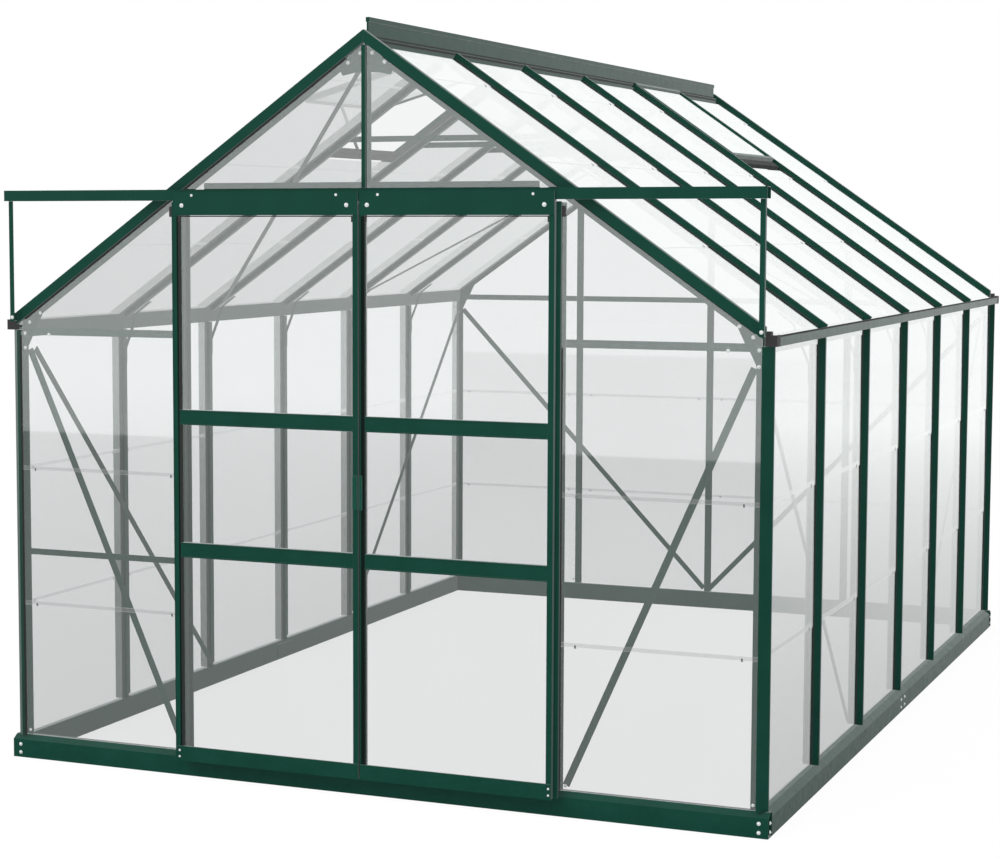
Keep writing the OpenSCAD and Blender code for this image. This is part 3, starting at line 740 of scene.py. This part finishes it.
@dataclass
class DoorDetails:
    """Fittings of one sliding door."""

    side: int
    stile: float = 0.017
    flange: float = 0.015
    rail: float = 0.047
    rail_levels: tuple[float, float] = (0.7395, 1.162)
    panel_bolts: tuple[float, float] = (0.0343, 0.0695)

    @property
    def name(self) -> str:
        """The door's side as a word."""
        return "left" if self.side < 0 else "right"

    def _piece(self, shape: Shape, part: str, finish: Finish, slot: str) -> bpy.types.Object:
        """Closes a shape as a piece of this door."""
        return shape.piece(f"door_{self.name}_{part}", finish, self.name + "_door", slot)

    def _x(self, distance: float) -> float:
        """A place across the door, from the building's middle."""
        return self.side * distance

    def _block(self, shape: Shape, x0: float, x1: float, y0: float, y1: float, z0: float,
               z1: float, bevel: float = 0.0) -> None:
        """Adds a box given by distances from the middle."""
        a, b = sorted((self._x(x0), self._x(x1)))
        shape.block((a, y0, z0), (b, y1, z1), None, bevel)

    def build(self) -> None:
        """Builds and places everything on this door."""
        low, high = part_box(f"door_{self.name}_frame")
        inner, outer = sorted((self.side * low[0], self.side * high[0]))
        face_out = outer - self.flange
        front, top, foot = low[1], high[2], low[2]
        glass_low, glass_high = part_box(f"door_{self.name}_glass")
        x0, x1 = inner + self.stile, face_out - self.stile
        self._seals(x0, x1, front, glass_low, glass_high)
        self._bolts(face_out, front, top, foot)
        self._rails(x0, x1, front)
        self._brush(inner, face_out, front, foot, top)
        self._clips(inner, face_out, front, top)

    def _seals(self, x0: float, x1: float, front: float, low: Vector, high: Vector) -> None:
        """Black strips between the glass and the stiles, and along the panels."""
        shape = Shape()
        y0, y1 = front + 0.0045, front + 0.0108
        wide, slim = 0.0068, 0.0012
        outer = slim if self.side > 0 else wide
        for a, b in ((x0, x0 + slim), (x1 - outer, x1)):
            self._block(shape, a, b, y0, y1, low[2] + 0.004, high[2] - 0.001)
        self._block(shape, x0, x1, y0, y1, high[2] - 0.004, high[2] - 0.0005)
        self._piece(shape, "seals", Finish.RUBBER, "black_plastic")

    def _bolts(self, outer: float, front: float, top: float, foot: float) -> None:
        """Bolt heads on the top panel and at the foot of the stiles."""
        shape = Shape()
        big, small = self.panel_bolts
        for x in (small, outer - small + 0.003):
            shape.bolt((self._x(x), front, top - 0.0113), (0, -1, 0), 0.0029)
        for x in (big, outer - big + 0.003):
            shape.bolt((self._x(x), front, top - 0.0424), (0, -1, 0), 0.0045)
        for z in (foot + 0.014, foot + 0.034):
            shape.bolt((self._x(outer - self.stile / 2), front, z), (0, -1, 0), 0.0024)
        self._piece(shape, "bolts", Finish.ZINC, "green_frame")

    def _rails(self, x0: float, x1: float, front: float) -> None:
        """Raised lips along both edges of the two middle rails."""
        shape = Shape()
        y0, y1 = front + 0.0012, front + 0.0031
        for z in self.rail_levels:
            for a in (z - self.rail / 2, z + self.rail / 2 - 0.004):
                self._block(shape, x0 + 0.0004, x1 - 0.0004, y0, y1, a, a + 0.004, 0.0006)
        self._piece(shape, "rail_lips", Finish.GREEN, "green_frame")

    def _brush(self, inner: float, outer: float, front: float, foot: float, top: float) -> None:
        """Brush pile in the meeting stile, and a thin near-black sheet of painted shade along one
        stile.
        """
        shape = Shape()
        self._block(shape, inner - 0.0022, inner + 0.0005, front + 0.009, front + 0.014,
                    foot + 0.01, top - 0.04)
        self._piece(shape, "brush", Finish.BRUSH, "black_plastic")
        # Painted shade: a thin near-black sheet on the stile's face where it lies in shadow.
        shape = Shape()
        if self.side > 0:
            a, b = inner + 0.004, inner + self.stile
        else:
            a, b = outer - self.stile, outer - self.stile + 0.006
        self._block(shape, a, b, front + 0.0026, front + 0.0029, foot + 0.048, top - 0.077)
        self._piece(shape, "channel", Finish.SHADE, "green_frame")

    def _clips(self, inner: float, outer: float, front: float, top: float) -> None:
        """Black clips at the heads of the stiles."""
        shape = Shape()
        for x in (inner + self.stile + 0.0005, outer - self.stile - 0.0045):
            self._block(shape, x, x + 0.004, front + 0.001, front + 0.010, top - 0.094,
                        top - 0.074, 0.0008)
        self._piece(shape, "clips", Finish.PLASTIC, "black_plastic")


@dataclass
class ShadeStrips:
    """Near-black strips of painted shade along the gutters' lips, under the ridge's lips and at the
    foot of its fin.
    """

    at: Layout
    skin: float = 0.0003
    fin: float = 0.065
    lip_shade_height: float = 0.0045
    # Painted shadow strips, each as (x0, x1, z0, z1): under the ridge's lip, then at its fin's foot.
    shade_bands: tuple[tuple[float, float, float, float], ...] = (
        (0.0133, 0.0158, -0.0075, -0.0003), (0.0031, 0.0038, 0.0032, 0.010))

    def gutters(self) -> None:
        """A near-black strip of painted shade along the top of each gutter's lip."""
        shape = Shape()
        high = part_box("gutter_right")[1]
        end = high[1] - 0.002
        for s in (-1, 1):
            a, b = sorted((s * (high[0] - 0.0052), s * (high[0] + self.skin)))
            shape.block((a, -end, high[2] - self.lip_shade_height), (b, end, high[2] + self.skin))
        # The near-black coat here paints the shade along the gutters' lips.
        shape.piece("gutter_lip_painted_shade", Finish.SHADE)

    def ridge(self) -> None:
        """Black strips of painted shadow under each of the ridge's lips and at the foot of its fin.
        """
        shape = Shape()
        low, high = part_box("ridge")
        lip = high[2] - self.fin
        for s in (-1, 1):
            for x0, x1, z0, z1 in self.shade_bands:
                a, b = sorted((s * x0, s * x1))
                shape.block((a, low[1] + 0.002, lip + z0), (b, high[1] - 0.002, lip + z1))
        # The black rubber finish here paints the ridge's shadow.
        shape.piece("ridge_painted_shade", Finish.RUBBER, slot="black_plastic")


# ---- frame and studio -------------------------------------------------------------

class FrameFinish:
    """Dresses the frame's own nodes."""

    def dress(self) -> None:
        """Puts a finish in every carried-over node's slots."""
        for name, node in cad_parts.items():
            if "glass" in name:
                finish = Finish.GLASS
            elif name == "gutter_caps" or name.endswith("hangers"):
                finish = Finish.PLASTIC
            elif name.startswith(("eaves", "gutter")):
                # Painted light: gutters and eaves take the paler, glossier copy of the frame coat.
                finish = Finish.EAVES
            elif name.endswith("handle"):
                finish = Finish.HANDLE
            elif name == "vent_sills":
                # Painted shade: the vent sills take the near-black coat for the shadow they lie in.
                finish = Finish.SHADE
            else:
                finish = Finish.GREEN
            if not node.data.materials:
                node.data.materials.append(None)
            for slot in node.material_slots:
                slot.material = finish.material()
            node.visible_glossy = False
            LOG.info("%s: %s", name, finish.name)


@dataclass
class Studio:
    """Camera, soft light, white surroundings and a pale floor."""

    lens: float = 82.1609
    place: Point = (2.918662, -8.251099, 1.776476)
    turn: Point = (84.9307, -0.0275, 23.6843)
    shift: tuple[float, float] = (0.0950071, -0.0045853)
    floor_ends: tuple[float, float] = (-13.5, 30.0)
    near_sheen: float = 0.45
    fade: tuple[float, float] = (-2.3, 12.0)

    def camera(self) -> None:
        """Adds the camera."""
        data = bpy.data.cameras.new("camera")
        data.lens = self.lens
        data.sensor_width = 36.0
        data.shift_x, data.shift_y = self.shift
        camera = bpy.data.objects.new("camera", data)
        camera.location = self.place
        camera.rotation_euler = [math.radians(angle) for angle in self.turn]
        bpy.context.collection.objects.link(camera)
        bpy.context.scene.camera = camera
        bpy.context.scene.view_settings.view_transform = "Standard"

    def lamps(self) -> None:
        """Adds one large soft lamp high on the left front."""
        data = bpy.data.lights.new("key", "SUN")
        data.energy = 1.1
        data.angle = math.radians(50)
        key = bpy.data.objects.new("key", data)
        key.rotation_euler = (math.radians(38), math.radians(-18), math.radians(-12))
        bpy.context.collection.objects.link(key)

    def world(self) -> None:
        """White to the camera and to reflections, a gentler level as light."""
        world = bpy.data.worlds.new("studio")
        world.use_nodes = True
        tree = world.node_tree
        path = tree.nodes.new("ShaderNodeLightPath")
        back = tree.nodes["Background"]
        camera = Value(tree, path.outputs["Is Camera Ray"])
        glossy = Value(tree, path.outputs["Is Glossy Ray"])
        through = Value(tree, path.outputs["Is Transmission Ray"])
        level = (camera + glossy + through).clamped() * 0.25 + 0.75
        tree.links.new(level.socket, back.inputs["Strength"])
        back.inputs["Color"].default_value = (1.0, 1.0, 1.0, 1.0)
        bpy.context.scene.world = world

    def floor(self) -> None:
        """Adds a floor that shows white, keeps part of the shadow and mirrors darker nearby."""
        y0, y1 = self.floor_ends
        bm = bmesh.new()
        bmesh.ops.create_grid(bm, x_segments=1, y_segments=1, size=1.0)
        bmesh.ops.scale(bm, vec=(30, (y1 - y0) / 2, 1), verts=bm.verts)
        bmesh.ops.translate(bm, vec=(0, (y0 + y1) / 2, -0.0005), verts=bm.verts)
        mesh = bpy.data.meshes.new("floor")
        bm.to_mesh(mesh)
        bm.free()
        floor = bpy.data.objects.new("floor", mesh)
        bpy.context.collection.objects.link(floor)
        r = Recipe("floor")
        camera = r.node("LightPath", {}, {}, "Is Camera Ray")
        glossy = r.node("LightPath", {}, {}, "Is Glossy Ray")
        far = r.ramp(r.node("SeparateXYZ", {}, {"Vector": r.coords()}, "Y"), *self.fade)
        near = (self.near_sheen,) * 3
        chalk = r.node("BsdfDiffuse", {}, {"Color": (0.92, 0.92, 0.92, 1.0)})
        white = r.node("Emission", {}, {
            "Color": r.mix((far + camera).clamped(), near, (1.0, 1.0, 1.0)),
            "Strength": camera * 1.02 + glossy})
        mesh.materials.append(r.finish(r.node("MixShader", {}, {
            0: camera * 0.93 + glossy, 1: chalk, 2: white})))

    def build(self) -> None:
        """Builds the studio."""
        self.camera()
        self.lamps()
        self.world()
        self.floor()


def main() -> None:
    """Builds the pieces in order."""
    logging.basicConfig(level=logging.INFO, format="%(name)s %(message)s")
    Studio().build()
    FrameFinish().dress()
    at = Layout()
    glazing = LappedGlazing(at)
    seals = GlazingSeals(at)
    fixings = FrameFixings(at)
    strips = ShadeStrips(at)
    steps: list[Callable[[], None]] = [
        glazing.walls, glazing.gables, glazing.roofs, seals.walls, seals.gables, seals.roofs,
        fixings.base, fixings.gussets, fixings.feet, strips.gutters, strips.ridge,
        DoorDetails(-1).build, DoorDetails(1).build]
    for step in steps:
        step()


if __name__ == "__main__":
    main()
